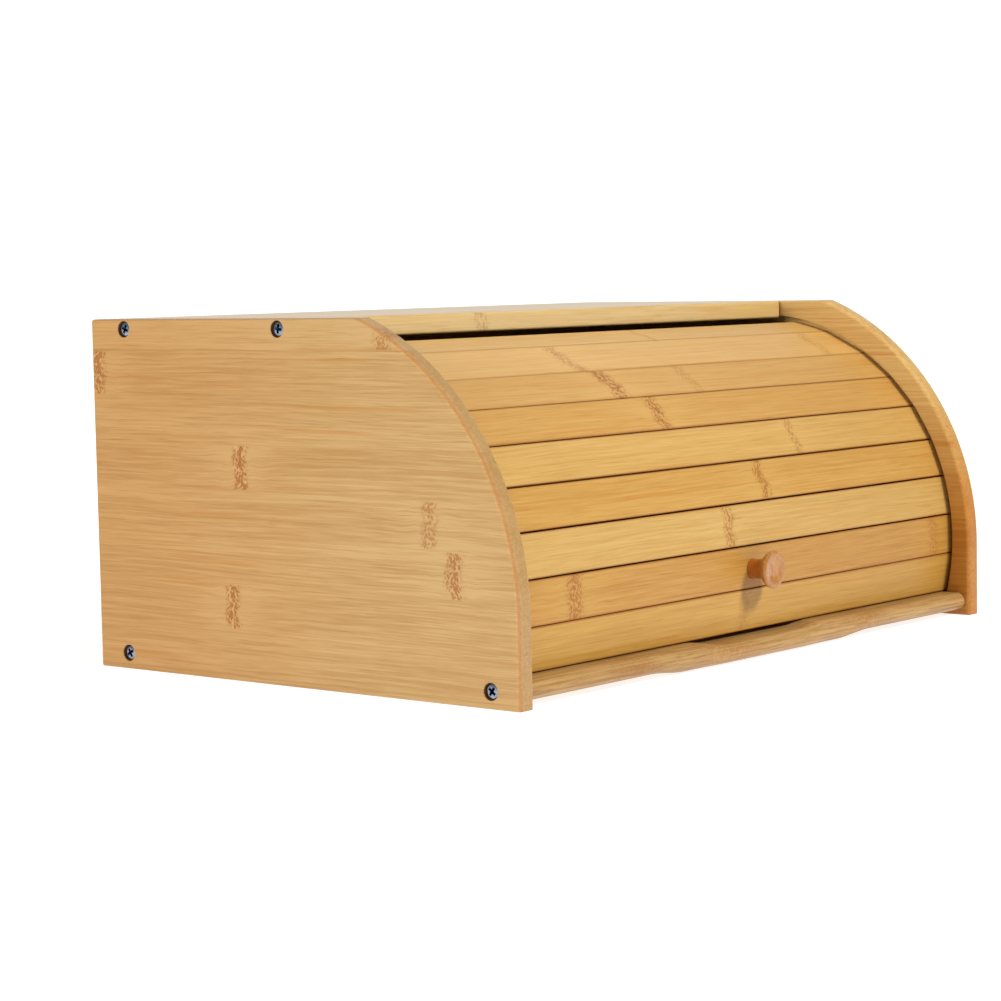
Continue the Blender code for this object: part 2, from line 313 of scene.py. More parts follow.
def knuckle(graph, u, v, w, seed, place):
    """A bamboo knuckle, four values from 0 to 1: brown flecks, pale flecks, its band, the wood around it.
    place is (middle along, low across, high across, half width, strength)."""
    middle, low, high, half, strength = place
    wander = graph.noise(scaled(graph, u, v, w, (0, 120, 60), seed + 7.3 * middle), detail=2)
    offset = graph.math("MULTIPLY_ADD", wander, 0.010, graph.math("SUBTRACT", u, middle + 0.005))
    away = graph.math("ABSOLUTE", offset)
    inside = graph.math(
        "MULTIPLY", graph.rise(v, low, low + 0.0010), graph.rise(v, high - 0.0010, high, 1.0, 0.0)
    )
    band = graph.math("MULTIPLY", graph.rise(away, half * 0.5, half * 1.25, 1.0, 0.0), inside)
    # The vessels bend into chevrons on both sides of the middle
    lean = graph.math("MULTIPLY_ADD", away, 0.5, v)
    spots = {"Vector": scaled(graph, offset, lean, w, (800, 600, 300), seed), "Scale": 1.0}
    spots = graph.node("TexVoronoi", spots).outputs["Distance"]
    # The brown flecks are dense along the middle and get smaller away from it
    thinned = graph.math("MULTIPLY_ADD", away, 0.24 / half, spots)
    brown = graph.math("MULTIPLY", graph.rise(thinned, 0.44, 0.72, 1.0, 0.0), band)
    pale = graph.math("MULTIPLY", graph.rise(spots, 0.62, 0.82), band)
    halo = graph.math("MULTIPLY", graph.rise(away, half, half * 6, 1.0, 0.0), inside)
    return [graph.math("MULTIPLY", part, strength) for part in (brown, pale, band, halo)]


KNUCKLE_COLOUR = (0.30, 0.105, 0.018)


def bamboo(
    name,
    light,
    dark,
    seed,
    knuckles=(),
    strip=0.0,
    strip_start=0.0,
    strip_tone=0.25,
    strip_levels=(),
    edge=None,
    rim=None,
    coat=0.08,
    specular=0.28,
    contrast=1.0,
    turn=None,
):
    """Lacquered bamboo. strip is the width of the glued strips across the grain, or 0 for one strip.
    edge is (half width, colour, strength): a slat's long edges, darkened with painted shade from the joints.
    rim is the colour of the line round a panel's outer corner. Further in, its sawn edges are a little
    darker, and so are its groove, holes and inner face, as painted shade.
    turn is (0 along or 1 across, from, to, light, dark): the colours that the board turns to that way; on the
    slats and the right panel it paints shade.
    strip_levels are the strips' tones, 0 light and 1 dark, from the one below strip_start upwards."""
    graph = Graph(name)
    u, v, w = graph.grain()
    shift = float(seed)
    strip_hue = None
    if strip:
        count = graph.math("DIVIDE", graph.math("SUBTRACT", v, strip_start), strip)
        index = graph.math("ADD", graph.math("FLOOR", count), seed * 3.7)
        white = graph.node("TexWhiteNoise", {"W": index}, noise_dimensions="1D")
        strip_hue = white.outputs["Value"]
        shift = graph.math("MULTIPLY_ADD", strip_hue, 40.0, seed)
        if strip_levels:
            part = graph.math("DIVIDE", graph.math("ADD", count, 1.0), len(strip_levels))
            strip_hue = graph.step(part, strip_levels)

    marks = [0.0, 0.0, 0.0, 0.0]
    for place in knuckles:
        found = knuckle(graph, u, v, w, seed, place)
        marks = [graph.math("MAXIMUM", old, new) for old, new in zip(marks, found)]
    brown, pale, band, halo = marks

    # The fibres wander a little, and more around a knuckle
    drift = graph.noise(scaled(graph, u, v, w, (7, 22, 22), shift), detail=2)
    swirl = graph.noise(scaled(graph, u, v, w, (90, 130, 130), shift), detail=1)
    swirl = graph.math("MULTIPLY", graph.math("MULTIPLY_ADD", swirl, 0.004, -0.002), halo)
    bent = graph.math("ADD", graph.math("MULTIPLY_ADD", drift, 0.0045, v), swirl)

    tone = graph.noise(scaled(graph, u, bent, w, (3.5, 90, 90), shift), detail=2)
    streak = graph.noise(scaled(graph, u, bent, w, (13, 720, 720), shift), detail=3, roughness=0.6)
    fibre = graph.noise(scaled(graph, u, bent, w, (40, 1500, 1500), shift), detail=3, roughness=0.65)
    vessel = graph.noise(scaled(graph, u, bent, w, (50, 2100, 2100), shift), detail=1)
    vessel = graph.rise(vessel, 0.60, 0.74)
    vein = graph.noise(scaled(graph, u, bent, w, (7, 330, 330), shift), detail=2)
    vein = graph.rise(vein, 0.60, 0.74)

    depth = graph.math("MULTIPLY_ADD", streak, 1.1, graph.math("MULTIPLY", tone, 0.4))
    depth = graph.math("MULTIPLY_ADD", fibre, 0.8, graph.math("SUBTRACT", depth, 1.15))
    depth = graph.math("MULTIPLY_ADD", depth, contrast, 0.5)
    if strip_hue is not None:
        depth = graph.math("ADD", depth, graph.math("MULTIPLY_ADD", strip_hue, strip_tone, -0.5 * strip_tone))
    depth = graph.math("SUBTRACT", depth, graph.math("MULTIPLY", halo, 0.18))
    share = graph.rise(depth, 0.10, 0.95)
    colour = graph.mix(share, light, dark)
    # The board turns to other colours one way; on the slats and the right panel this is painted shade
    if turn:
        axis, low, high, turned_light, turned_dark = turn
        turned_colour = graph.mix(share, turned_light, turned_dark)
        colour = graph.mix(graph.rise((u, v)[axis], low, high), colour, turned_colour)
    vessel_colour = tuple(c * s for c, s in zip(dark, (0.72, 0.58, 0.42)))
    vein_colour = tuple(c * s for c, s in zip(dark, (1.06, 0.80, 0.45)))
    colour = graph.mix(graph.math("MULTIPLY", vessel, 0.35), colour, vessel_colour)
    colour = graph.mix(graph.math("MULTIPLY", vein, 0.50), colour, vein_colour)
    if strip:
        seam = graph.math("ABSOLUTE", graph.math("SUBTRACT", graph.math("FRACT", count), 0.5))
        seam = graph.rise(seam, 0.490, 0.499)
        colour = graph.mix(graph.math("MULTIPLY", seam, 0.22), colour, vessel_colour)
    if knuckles:
        colour = graph.mix(graph.math("MULTIPLY", band, 0.24), colour, KNUCKLE_COLOUR)
        colour = graph.mix(graph.math("MULTIPLY", pale, 0.45), colour, tuple(1.12 * c for c in light))
        colour = graph.mix(graph.math("MULTIPLY", brown, 0.95), colour, KNUCKLE_COLOUR)
    # Painted shade: a slat is darker along its long edges, where the joints between slats are shaded
    if edge:
        half, joint_shade_colour, joint_shade_strength = edge
        near = graph.rise(graph.math("ABSOLUTE", v), half - 0.0012, half)
        colour = graph.mix(graph.math("MULTIPLY", near, joint_shade_strength), colour, joint_shade_colour)
    if rim:
        line = graph.math("MULTIPLY", graph.rise(w, 0.0001, 0.0006), graph.rise(w, 0.0011, 0.0022, 1.0, 0.0))
        colour = graph.mix(graph.math("MULTIPLY", line, 0.55), colour, rim)
        # Darker deeper than 3 mm from the outer face: the sawn edges' own tone, and painted shade in the
        # groove, the holes and on the inner face
        sawn_and_shade = graph.math("MULTIPLY", graph.rise(w, 0.0012, 0.0030), 0.28)
        colour = graph.mix(sawn_and_shade, colour, tuple(0.72 * c for c in dark))

    gloss = graph.math("MULTIPLY_ADD", streak, 0.10, 0.37)
    graph.set(Base_Color=colour, Roughness=graph.math("MULTIPLY_ADD", vessel, 0.08, gloss))
    graph.set(Coat_Weight=coat, Coat_Roughness=0.25, Specular_IOR_Level=specular)
    height = graph.math("SUBTRACT", graph.math("MULTIPLY", fibre, 0.6), graph.math("MULTIPLY", vessel, 0.5))
    height = graph.math("SUBTRACT", height, graph.math("MULTIPLY", brown, 0.05))
    graph.bump(height, 0.30, 0.00012)
    return graph.material


def turned_wood(name, light, dark):
    """Glossy lacquered knob. The grain runs along its axis, so that its face shows end grain."""
    graph = Graph(name)
    u, v, w = graph.grain()
    tone = graph.noise(scaled(graph, u, v, w, (30, 260, 160), 3.0), detail=2)
    fibre = graph.noise(scaled(graph, u, v, w, (90, 1500, 1100), 3.0), detail=3, roughness=0.6)
    depth = graph.math("MULTIPLY_ADD", fibre, 0.6, graph.math("MULTIPLY_ADD", tone, 0.8, -0.25))
    colour = graph.mix(graph.rise(depth, 0.1, 0.8), light, dark)
    # Painted shade: the neck, under the head and next to the slat, is darker and redder
    neck_shade = graph.rise(u, 0.006, 0.010, 0.85, 0.0)
    colour = graph.mix(neck_shade, colour, tuple(c * s for c, s in zip(dark, (1.25, 0.95, 0.5))))
    graph.set(Base_Color=colour, Roughness=0.30)
    graph.set(Coat_Weight=0.7, Coat_Roughness=0.06, Specular_IOR_Level=0.3)
    graph.bump(fibre, 0.12, 0.0001)
    return graph.material


def drilled_wood(name, colour):
    """The rough wall of a drilled hole, in a dark colour of painted shade."""
    graph = Graph(name)
    u, v, w = graph.grain()
    fibre = graph.noise(scaled(graph, u, v, w, (500, 1500, 1500), 2.0), detail=2)
    graph.set(Base_Color=graph.mix(fibre, colour, tuple(0.5 * c for c in colour)), Roughness=0.7)
    graph.bump(fibre, 0.3, 0.0001)
    return graph.material


def screw_metal(name, colour, roughness):
    """Zinc-plated steel with fine marks from turning."""
    graph = Graph(name)
    u, v, w = graph.grain()
    marks = graph.noise(scaled(graph, u, v, w, (900, 900, 900), 1.0), detail=3)
    graph.set(Base_Color=graph.mix(graph.rise(marks, 0.35, 0.7), colour, tuple(0.6 * c for c in colour)))
    graph.set(Metallic=1.0, Roughness=graph.math("MULTIPLY_ADD", marks, 0.2, roughness - 0.1))
    graph.bump(marks, 0.15, 0.00005)
    return graph.material


def canvas(name, light, dark, thread=0.0007):
    """Plain weave: threads along and across that pass over and under each other."""
    graph = Graph(name)
    u, v, w = graph.grain()
    wander = graph.noise(scaled(graph, u, v, w, (40, 40, 0), 5.0), detail=2)
    along = graph.math("MULTIPLY", graph.math("MULTIPLY_ADD", wander, 0.0006, u), math.pi / thread)
    across = graph.math("MULTIPLY", graph.math("MULTIPLY_ADD", wander, 0.0006, v), math.pi / thread)
    warp = graph.math("ABSOLUTE", graph.math("SINE", along))
    weft = graph.math("ABSOLUTE", graph.math("SINE", across))
    signs = [graph.math("SIGN", graph.math("SINE", place)) for place in (along, across)]
    over = graph.rise(graph.math("MULTIPLY", *signs), -1.0, 1.0)
    under = graph.math("MULTIPLY", weft, graph.math("SUBTRACT", 1.0, over))
    height = graph.math("MULTIPLY_ADD", warp, over, under)
    slub = graph.noise(scaled(graph, u, v, w, (60, 900, 0), 2.0), detail=2)
    shade = graph.math("MULTIPLY_ADD", slub, 0.5, graph.math("MULTIPLY", height, 0.6))
    graph.set(Base_Color=graph.mix(graph.rise(shade, 0.15, 0.9), dark, light), Roughness=0.9)
    graph.set(Sheen_Weight=0.25, Sheen_Roughness=0.5)
    graph.bump(height, 0.5, 0.0003)
    return graph.material


# ---------------------------------------------------------------- side panels

PANEL_KNUCKLES = (  # middle along Y from the box's middle, low Z, high Z, half width, strength
    (0.0350, 0.0915, 0.1133, 0.0050, 1.3),
    (0.0410, 0.0247, 0.0465, 0.0050, 1.15),
    (-0.0838, 0.0693, 0.0911, 0.0052, 0.65),
    (-0.0979, 0.0471, 0.0689, 0.0055, 0.9),
    (0.1310, 0.1359, 0.1577, 0.0055, 1.1),
    (-0.0580, 0.1581, 0.1720, 0.0065, 0.7),
)
PANEL_STRIPS = (0.8, 0.6, 0.65, 0.5, 0.4, 0.65, 0.35, 0.55, 0.0)


def panel_outline():
    top_angle = math.asin((HEIGHT - ARC_CENTRE[1]) / ARC_RADIUS)
    return [(FRONT_Y, 0), *arc(ARC_CENTRE, ARC_RADIUS, 0, top_angle, 90), (BACK_Y, HEIGHT), (BACK_Y, 0)]


def round_panel(obj):
    """Rounds the front edge more than the others."""
    kink_y = panel_outline()[-3][0]
    square_corners = ((FRONT_Y, 0), (BACK_Y, 0), (BACK_Y, HEIGHT))
    bm = bmesh.new()
    bm.from_mesh(obj.data)
    weight = bm.edges.layers.float.new("bevel_weight_edge")
    for e in bm.edges:
        ends = [v.co for v in e.verts]
        across = abs(ends[0].x - ends[1].x) > 0.001
        above_floor = max(p.z for p in ends) > SAME_PLACE
        on_front = above_floor and all(p.y <= kink_y + SAME_PLACE for p in ends)
        corner = min(abs(ends[0].y - y) + abs(ends[0].z - z) for y, z in square_corners)
        if across:
            e[weight] = OTHER_ROUND / FRONT_ROUND if corner < SAME_PLACE else 0
        else:
            e[weight] = 1 if on_front else OTHER_ROUND / FRONT_ROUND
    bm.to_mesh(obj.data)
    bm.free()
    bevel = obj.modifiers.new("Round", "BEVEL")
    bevel.limit_method = "WEIGHT"
    bevel.width = FRONT_ROUND
    bevel.segments = 6
    bevel.use_clamp_overlap = True


def screw_place(side_name, place):
    """A matrix at the screw's axis in the panel's outer face, whose +Z runs into the box."""
    low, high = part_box(f"screw_{side_name}_{place}")
    side = -1 if side_name == "left" else 1
    y, z = (low.y + high.y) / 2, (low.z + high.z) / 2
    turn = Matrix.Rotation(-side * math.pi / 2, 4, "Y")
    return Matrix.Translation((side * OUTER_X, y, z)) @ turn


SCREW_PLACES = ("top_back", "top_front", "base_back", "base_front")
SCREW_HEAD = 0.0035
SCREW_SINK = 0.0012
SCREW_HOLE = (  # distance from the panel's outer face, radius
    (-0.001, 0),
    (-0.001, 0.0045),
    (0.0000, 0.0043),
    (0.0003, 0.0040),
    (0.0008, 0.0039),
    (0.0018, 0.0039),
    (0.0037, 0.0021),
    (0.0312, 0.0021),
    (0.0345, 0.0003),
    (0.0345, 0),
)


def hole_cutters(places, side_names=("left", "right")):
    ends = [screw_place(side_name, place) for side_name in side_names for place in places]
    return [link_piece("hole", turned("hole", SCREW_HOLE, 48, matrix)) for matrix in ends]


def paint_inside(obj, matrices, depth, radius, material):
    """Gives the faces deeper than depth and nearer than radius to any of the +Z axes another material."""
    obj.data.materials.append(material)
    into = [matrix.inverted() for matrix in matrices]
    for face in obj.data.polygons:
        places = [matrix @ face.center for matrix in into]
        if any(p.z > depth and math.hypot(p.x, p.y) < radius for p in places):
            face.material_index = 1


def make_side_panel(side_name, side, material, hole_wall):
    ends = sorted((side * OUTER_X, side * INNER_X))
    panel = link_piece(f"bamboo_panel_{side_name}", prism("panel", panel_outline(), *ends))
    round_panel(panel)
    over = 0.001
    groove = arc((AXIS.y, AXIS.z), GROOVE_RADII[1], *GROOVE_ENDS, 150)
    groove += arc((AXIS.y, AXIS.z), GROOVE_RADII[0], *GROOVE_ENDS[::-1], 150)
    groove_ends = sorted((side * (INNER_X - over), side * (INNER_X + GROOVE_DEPTH)))
    low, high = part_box("back_panel")
    low, high = low - Vector((GAP, GAP, GAP)), high + Vector((GAP, GAP, GAP))
    slot = [(low.y, low.z), (high.y, low.z), (high.y, high.z), (low.y, high.z)]
    slot_ends = sorted((side * (INNER_X - over), side * high.x))
    cutters = [
        link_piece("groove", prism("groove", groove, *groove_ends)),
        link_piece("back_slot", prism("back_slot", slot, *slot_ends)),
    ]
    cut(panel, cutters + hole_cutters(SCREW_PLACES, (side_name,)))
    panel.data.materials.append(material)
    holes = [screw_place(side_name, place) for place in SCREW_PLACES]
    # Painted shade: the faces inside the screw holes get the dark hole wall material
    paint_inside(panel, holes, depth=0.0003, radius=0.0044, material=hole_wall)
    outward = Matrix(((0, 1, 0, -MID_Y), (0, 0, 1, 0), (-side, 0, 0, OUTER_X), (0, 0, 0, 1)))
    finish_piece(panel, "case", f"side_panel_{side_name}", material, outward)


# ---------------------------------------------------------------- boards


def make_board(name, node, material, screws=(), rounding=0.0009):
    low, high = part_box(node)
    bm = bmesh.new()
    bmesh.ops.create_cube(bm, size=1)
    size = high - low
    bm.transform(Matrix.Translation((low + high) / 2) @ Matrix.Diagonal((*size, 1)))
    bmesh.ops.bevel(bm, geom=bm.edges[:], offset=rounding, segments=4, profile=0.5, affect="EDGES")
    board = link_piece(name, mesh_from(name, bm))
    if screws:
        cut(board, hole_cutters(screws))
    into = Matrix(((1, 0, 0, 0), (0, 1, 0, -MID_Y), (0, 0, 1, 0), (0, 0, 0, 1)))
    if size.y < size.z:  # an upright board, whose strips lie one above the other
        into = Matrix(((1, 0, 0, 0), (0, 0, 1, 0), (0, 1, 0, 0), (0, 0, 0, 1)))
    finish_piece(board, "case", node, material, into)


def smooth_dip(x, depth, ends):
    t = min(max((abs(x) - ends[0]) / (ends[1] - ends[0]), 0), 1)
    return depth * (1 - t * t * (3 - 2 * t))


def rail_section(x):
    top = RAIL_HIGH.z - smooth_dip(x, TOP_DIP, TOP_DIP_ENDS)
    under = RAIL_UNDER - smooth_dip(x, UNDER_DIP, UNDER_DIP_ENDS)
    middle, radius = (top + under) / 2, (top - under) / 2
    nose = arc((RAIL_LOW.y + radius, middle), radius, -math.pi / 2, math.pi / 2, 28)
    return [(x, y, z) for y, z in [*nose, (RAIL_HIGH.y, top), (RAIL_HIGH.y, under)]]


def make_rail(material):
    stations = np.linspace(RAIL_LOW.x, RAIL_HIGH.x, 160)
    rail = link_piece("rail_bullnose", loft("rail", [rail_section(float(x)) for x in stations]))
    cut(rail, hole_cutters(("base_front",)))
    into = Matrix(((1, 0, 0, 0), (0, 1, 0, -RAIL_LOW.y), (0, 0, 1, 0), (0, 0, 0, 1)))
    finish_piece(rail, "case", "front_rail", material, into)


# ---------------------------------------------------------------- curtain


def knob_frame(distance):
    """+Z points out of the knob's slat, from this distance in front of the axis."""
    return slat_frame(slat_angle(KNOB_SLAT)) @ Matrix.Translation((0, -KNOB_DROP, distance))


def bore_cutter():
    """The hole that the knob's screw runs in, from behind the cloth."""
    radius, depth = KNOB_BORE
    start, end = slat_back(KNOB_SLAT) - 0.003, knob_foot() + depth
    profile = ((start, 0), (start, radius), (end, radius), (end, 0))
    return link_piece("bore", turned("bore", profile, 32, knob_frame(0)))


def slat_angle(number):
    return (JOINTS[number - 1] + JOINTS[number]) / 2


def half_chord(number):
    return CURTAIN_RADIUS * math.sin((JOINTS[number] - JOINTS[number - 1]) / 2)


def slat_face(number):
    """From the axis to the slat's face."""
    return math.sqrt(CURTAIN_RADIUS**2 - (half_chord(number) - FRAME_JOINT_GAP / 2) ** 2)


def slat_back(number):
    return slat_face(number) - SLAT_THICK


def knob_foot():
    return slat_face(KNOB_SLAT) + GAP


def slat_frame(angle):
    """Columns: along the slat, up across it, and straight out of it. Its origin is the curtain's axis."""
    c, s = math.cos(angle), math.sin(angle)
    return Matrix(((1, 0, 0, AXIS.x), (0, s, -c, AXIS.y), (0, c, s, AXIS.z), (0, 0, 0, 1)))


def wobble(random, size):
    """A gentle random line along X: what a saw and a plane leave on a long edge."""
    waves = [(size / k, 2 * math.pi * k * random.uniform(3, 7), random.uniform(0, 6.28)) for k in (1, 2, 3)]
    return lambda x: sum(a * math.sin(f * x + p) for a, f, p in waves)


def rounded_corner(v, n, v_sign, n_sign, radius, steps):
    """Points round one corner of a slat's section, from its side to its face."""
    points = []
    for i in range(steps + 1):
        a = math.pi / 2 * i / steps
        points.append((v - v_sign * radius * (1 - math.cos(a)), n - n_sign * radius * (1 - math.sin(a))))
    return points


def slat_section(number, up, down):
    """(across, outwards) points. up and down move the two long edges."""
    crown, front_round, back_round, taper = 0.0001, 0.0005, 0.0003, 0.0003
    half, front, back = half_chord(number), slat_face(number), slat_back(number)
    bottom, top = -half + JOINT_GAPS[number - 1] / 2 + down, half - JOINT_GAPS[number] / 2 + up
    behind = half - FRAME_JOINT_GAP / 2 - taper
    shares = (0.2, 0.35, 0.5, 0.65, 0.8)
    face = [(top + (bottom - top) * t, front + crown * 4 * t * (1 - t)) for t in shares]
    return [
        *rounded_corner(top, front, 1, 1, front_round, 5),
        *face,
        *rounded_corner(bottom, front, -1, 1, front_round, 5)[::-1],
        *rounded_corner(-behind, back, -1, -1, back_round, 2),
        *rounded_corner(behind, back, 1, -1, back_round, 2)[::-1],
    ]


def make_slat(number, material):
    random = np.random.RandomState(100 + number)
    up, down = wobble(random, 0.00003), wobble(random, 0.00003)
    low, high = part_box(f"slat_{number}")
    matrix = slat_frame(slat_angle(number))
    loops = []
    for x in np.linspace(low.x, high.x, 90):
        section = slat_section(number, up(x), down(x))
        loops.append([matrix @ Vector((float(x), v, n)) for v, n in section])
    slat = link_piece(f"bamboo_slat_{number}", loft("slat", loops))
    if number == KNOB_SLAT:
        cut(slat, [bore_cutter()])
    into = matrix.inverted()
    into.translation.z -= slat_face(number)
    finish_piece(slat, "roll_top", f"slat_{number}", material, into)


def make_cloth(material):
    """One canvas behind all the slats, folded along their joins."""
    low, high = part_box("backing_cloth")
    start, end = JOINTS[0] + CLOTH_MARGIN, JOINTS[-1] - CLOTH_MARGIN
    stops = [start, *JOINTS[1:-1], end]
    angles = [a + (b - a) * i / 8 for a, b in zip(stops, stops[1:]) for i in range(8)] + [end]

    def distance(angle):
        beside = [n for n in range(1, SLAT_COUNT + 1) if JOINTS[n - 1] - 1e-6 < angle < JOINTS[n] + 1e-6]
        return min((slat_back(n) - GAP) / math.cos(angle - slat_angle(n)) for n in beside)

    def layer(x, inset):
        reach = [distance(a) - inset for a in angles]
        return [(x, AXIS.y - r * math.cos(a), AXIS.z + r * math.sin(a)) for r, a in zip(reach, angles)]

    loops = [layer(float(x), 0) + layer(float(x), CLOTH_THICK)[::-1] for x in np.linspace(low.x, high.x, 60)]
    cloth = link_piece("canvas_backing", loft("cloth", loops))
    cut(cloth, [bore_cutter()])
    finish_piece(cloth, "roll_top", "backing_cloth", material, Matrix.Identity(4), sharp_deg=60)
    radius = slat_back(1) - GAP - CLOTH_THICK / 2
    along = np.array([v.vector[:] for v in cloth.data.attributes["grain"].data])
    along[:, 1] = radius * np.arctan2(along[:, 2] - AXIS.z, AXIS.y - along[:, 1])
    cloth.data.attributes["grain"].data.foreach_set("vector", along.astype(np.float32).ravel())


# ---------------------------------------------------------------- knob and screws


def make_knob(material):
    profile = [(0.0, 0.0), *smooth_profile(KNOB_PROFILE)]
    knob = link_piece("turned_knob", turned("knob", profile, 96, knob_frame(knob_foot())))
    cut(knob, [bore_cutter()])
    into = knob_frame(knob_foot()).inverted()
    order = Matrix(((0, 0, 1, 0), (1, 0, 0, 0), (0, 1, 0, 0), (0, 0, 0, 1)))
    finish_piece(knob, "roll_top", "knob", material, order @ into, sharp_deg=50)


def cross_cutter(matrix, depth, half_length, half_width, top=-0.001):
    """Two tapered bars that make a cross recess, from above the head down to its depth."""
    cutters = []
    for turn in (0, math.pi / 2):
        bm = bmesh.new()
        sizes = ((top, 1.0), (0.0, 1.0), (depth, 0.35))
        rings = []
        for z, share in sizes:
            a, b = half_length * share, half_width * (0.6 + 0.4 * share)
            rings.append([bm.verts.new(p) for p in ((-a, -b, z), (a, -b, z), (a, b, z), (-a, b, z))])
        bridge(bm, rings)
        bm.faces.new(rings[0])
        bm.faces.new(rings[-1])
        bm.transform(matrix @ Matrix.Rotation(turn, 4, "Z"))
        cutters.append(link_piece("cross", mesh_from("cross", bm)))
    return cutters


def make_panel_screws(metal, recess):
    turns = {"top_back": 24, "top_front": 8, "base_back": 60, "base_front": 38}
    dome, dome_radius, shank = 0.00045, SCREW_HEAD * 0.97, 0.0017
    quarter = np.linspace(0, math.pi / 2, 9)
    profile = [
        *((0.0002 - dome * math.cos(a), dome_radius * math.sin(a)) for a in quarter),
        (0.0003, SCREW_HEAD),
        (0.0005, SCREW_HEAD - 0.0001),
        (0.0022, shank),
        (0.0300, shank),
        (0.0328, 0.0002),
        (0.0328, 0),
    ]
    for side_name in ("left", "right"):
        for place in SCREW_PLACES:
            node = f"screw_{side_name}_{place}"
            matrix = screw_place(side_name, place) @ Matrix.Translation((0, 0, SCREW_SINK))
            matrix = matrix @ Matrix.Rotation(math.radians(turns[place]), 4, "Z")
            screw = link_piece(f"steel_{node}", turned("screw", profile, 48, matrix))
            screw.data.materials.append(metal)
            cut(screw, cross_cutter(matrix, depth=0.0019, half_length=0.0022, half_width=0.0007))
            # Painted shade: the faces inside the cross recess get the near-black recess material
            paint_inside(screw, [matrix], depth=0.00002, radius=0.00225, material=recess)
            finish_piece(screw, "case", node, metal, matrix.inverted(), sharp_deg=40)


def make_knob_screw(metal, recess):
    low_distance = slat_back(KNOB_SLAT) - CLOTH_THICK - 2 * GAP
    washer_thick, washer_radius = 0.0008, 0.0048
    seat = low_distance - washer_thick - GAP
    head_height, head_radius, shank, spare = 0.0020, 0.0034, 0.0014, 0.001
    quarter = np.linspace(0, math.pi / 2, 9)
    dome = [(-head_height * math.cos(a), head_radius * math.sin(a)) for a in quarter]
    tip = knob_foot() + KNOB_BORE[1] - spare - seat
    under = [(0.0, head_radius - 0.0001), (0.0002, shank)]
    profile = [*dome, *under, (tip - 0.0015, shank), (tip, 0.0001), (tip, 0)]
    matrix = knob_frame(seat)
    screw = link_piece("steel_knob_screw", turned("knob_screw", profile, 48, matrix))
    screw.data.materials.append(metal)
    cut(screw, cross_cutter(matrix, depth=-0.0003, half_length=0.0017, half_width=0.0004, top=-0.004))
    finish_piece(screw, "roll_top", "knob_screw", metal, matrix.inverted(), sharp_deg=40)
    round_by = 0.0002
    rim = [
        (0, 0),
        (0, washer_radius - round_by),
        (round_by, washer_radius),
        (washer_thick - round_by, washer_radius),
        (washer_thick, washer_radius - round_by),
        (washer_thick, 0),
    ]
    matrix = knob_frame(low_distance - washer_thick)
    washer = link_piece("steel_knob_washer", turned("washer", rim, 48, matrix))
    cut(washer, [bore_cutter()])
    finish_piece(washer, "roll_top", "knob_washer", metal, matrix.inverted(), sharp_deg=40)


# ---------------------------------------------------------------- the object

# The upper slats' tones grow lighter and paler: partly the slats' own tones, partly painted sheen of the
# light from above
SLAT_LOOKS_AND_SHEEN = (  # light, dark, then knuckles as (along X, half width, strength)
    ((0.53, 0.306, 0.067), (0.417, 0.208, 0.034), ((-0.006, 0.005, 0.35),)),
    ((0.492, 0.27, 0.062), (0.377, 0.163, 0.028), ((-0.143, 0.0065, 0.85), (0.175, 0.006, 0.45))),
    ((0.552, 0.354, 0.119), (0.457, 0.253, 0.065), ((-0.017, 0.005, 0.7),)),
    ((0.545, 0.318, 0.088), (0.439, 0.219, 0.044), ((0.021, 0.005, 0.8),)),
    ((0.581, 0.364, 0.116), (0.479, 0.262, 0.065), ((0.065, 0.004, 0.5),)),
    ((0.573, 0.326, 0.096), (0.467, 0.235, 0.051), ((-0.036, 0.006, 0.8),)),
    ((0.589, 0.346, 0.11), (0.493, 0.256, 0.065), ((-0.053, 0.007, 0.9), (0.012, 0.005, 0.3))),
    ((0.676, 0.412, 0.137), (0.576, 0.314, 0.09), ((-0.064, 0.006, 0.5), (0.16, 0.005, 0.3))),
    ((0.667, 0.411, 0.137), (0.56, 0.311, 0.087), ((0.03, 0.003, 0.4),)),
)


def make_side_panels():
    rim = (0.33, 0.125, 0.045)
    # Painted shade: a near-black brown for the walls of the screw holes
    hole_wall = drilled_wood("hole_wall", (0.16, 0.06, 0.018))
    # Painted shade: the right panel is darker and redder than the left and turns lighter only from 45 to 135
    # mm up, for the shade on its inner face beside the slats. The left panel turns darker and redder towards
    # the back.
    panel_tones = {"left": ((0.485, 0.310, 0.126), (0.381, 0.212, 0.068)),
                   "right": ((0.535, 0.235, 0.040), (0.400, 0.140, 0.016))}
    panel_turns = {"left": (0, -0.10, 0.12, (0.455, 0.252, 0.084), (0.358, 0.171, 0.044)),
                   "right": (1, 0.045, 0.135, (0.670, 0.465, 0.180), (0.540, 0.325, 0.099))}
    mirrored = [(0.021 - along, *others) for along, *others in PANEL_KNUCKLES]
    for side_name, side, knuckles, seed in (("left", -1, PANEL_KNUCKLES, 1), ("right", 1, mirrored, 5)):
        light, dark = panel_tones[side_name]
        look = bamboo(
            f"panel_{side_name}",
            light,
            dark,
            seed,
            knuckles,
            strip=0.0222,
            strip_start=0.0025,
            strip_tone=0.4,
            strip_levels=PANEL_STRIPS,
            rim=rim,
            coat=0.15,
            contrast=1.35,
            turn=panel_turns[side_name],
        )
        make_side_panel(side_name, side, look, hole_wall)


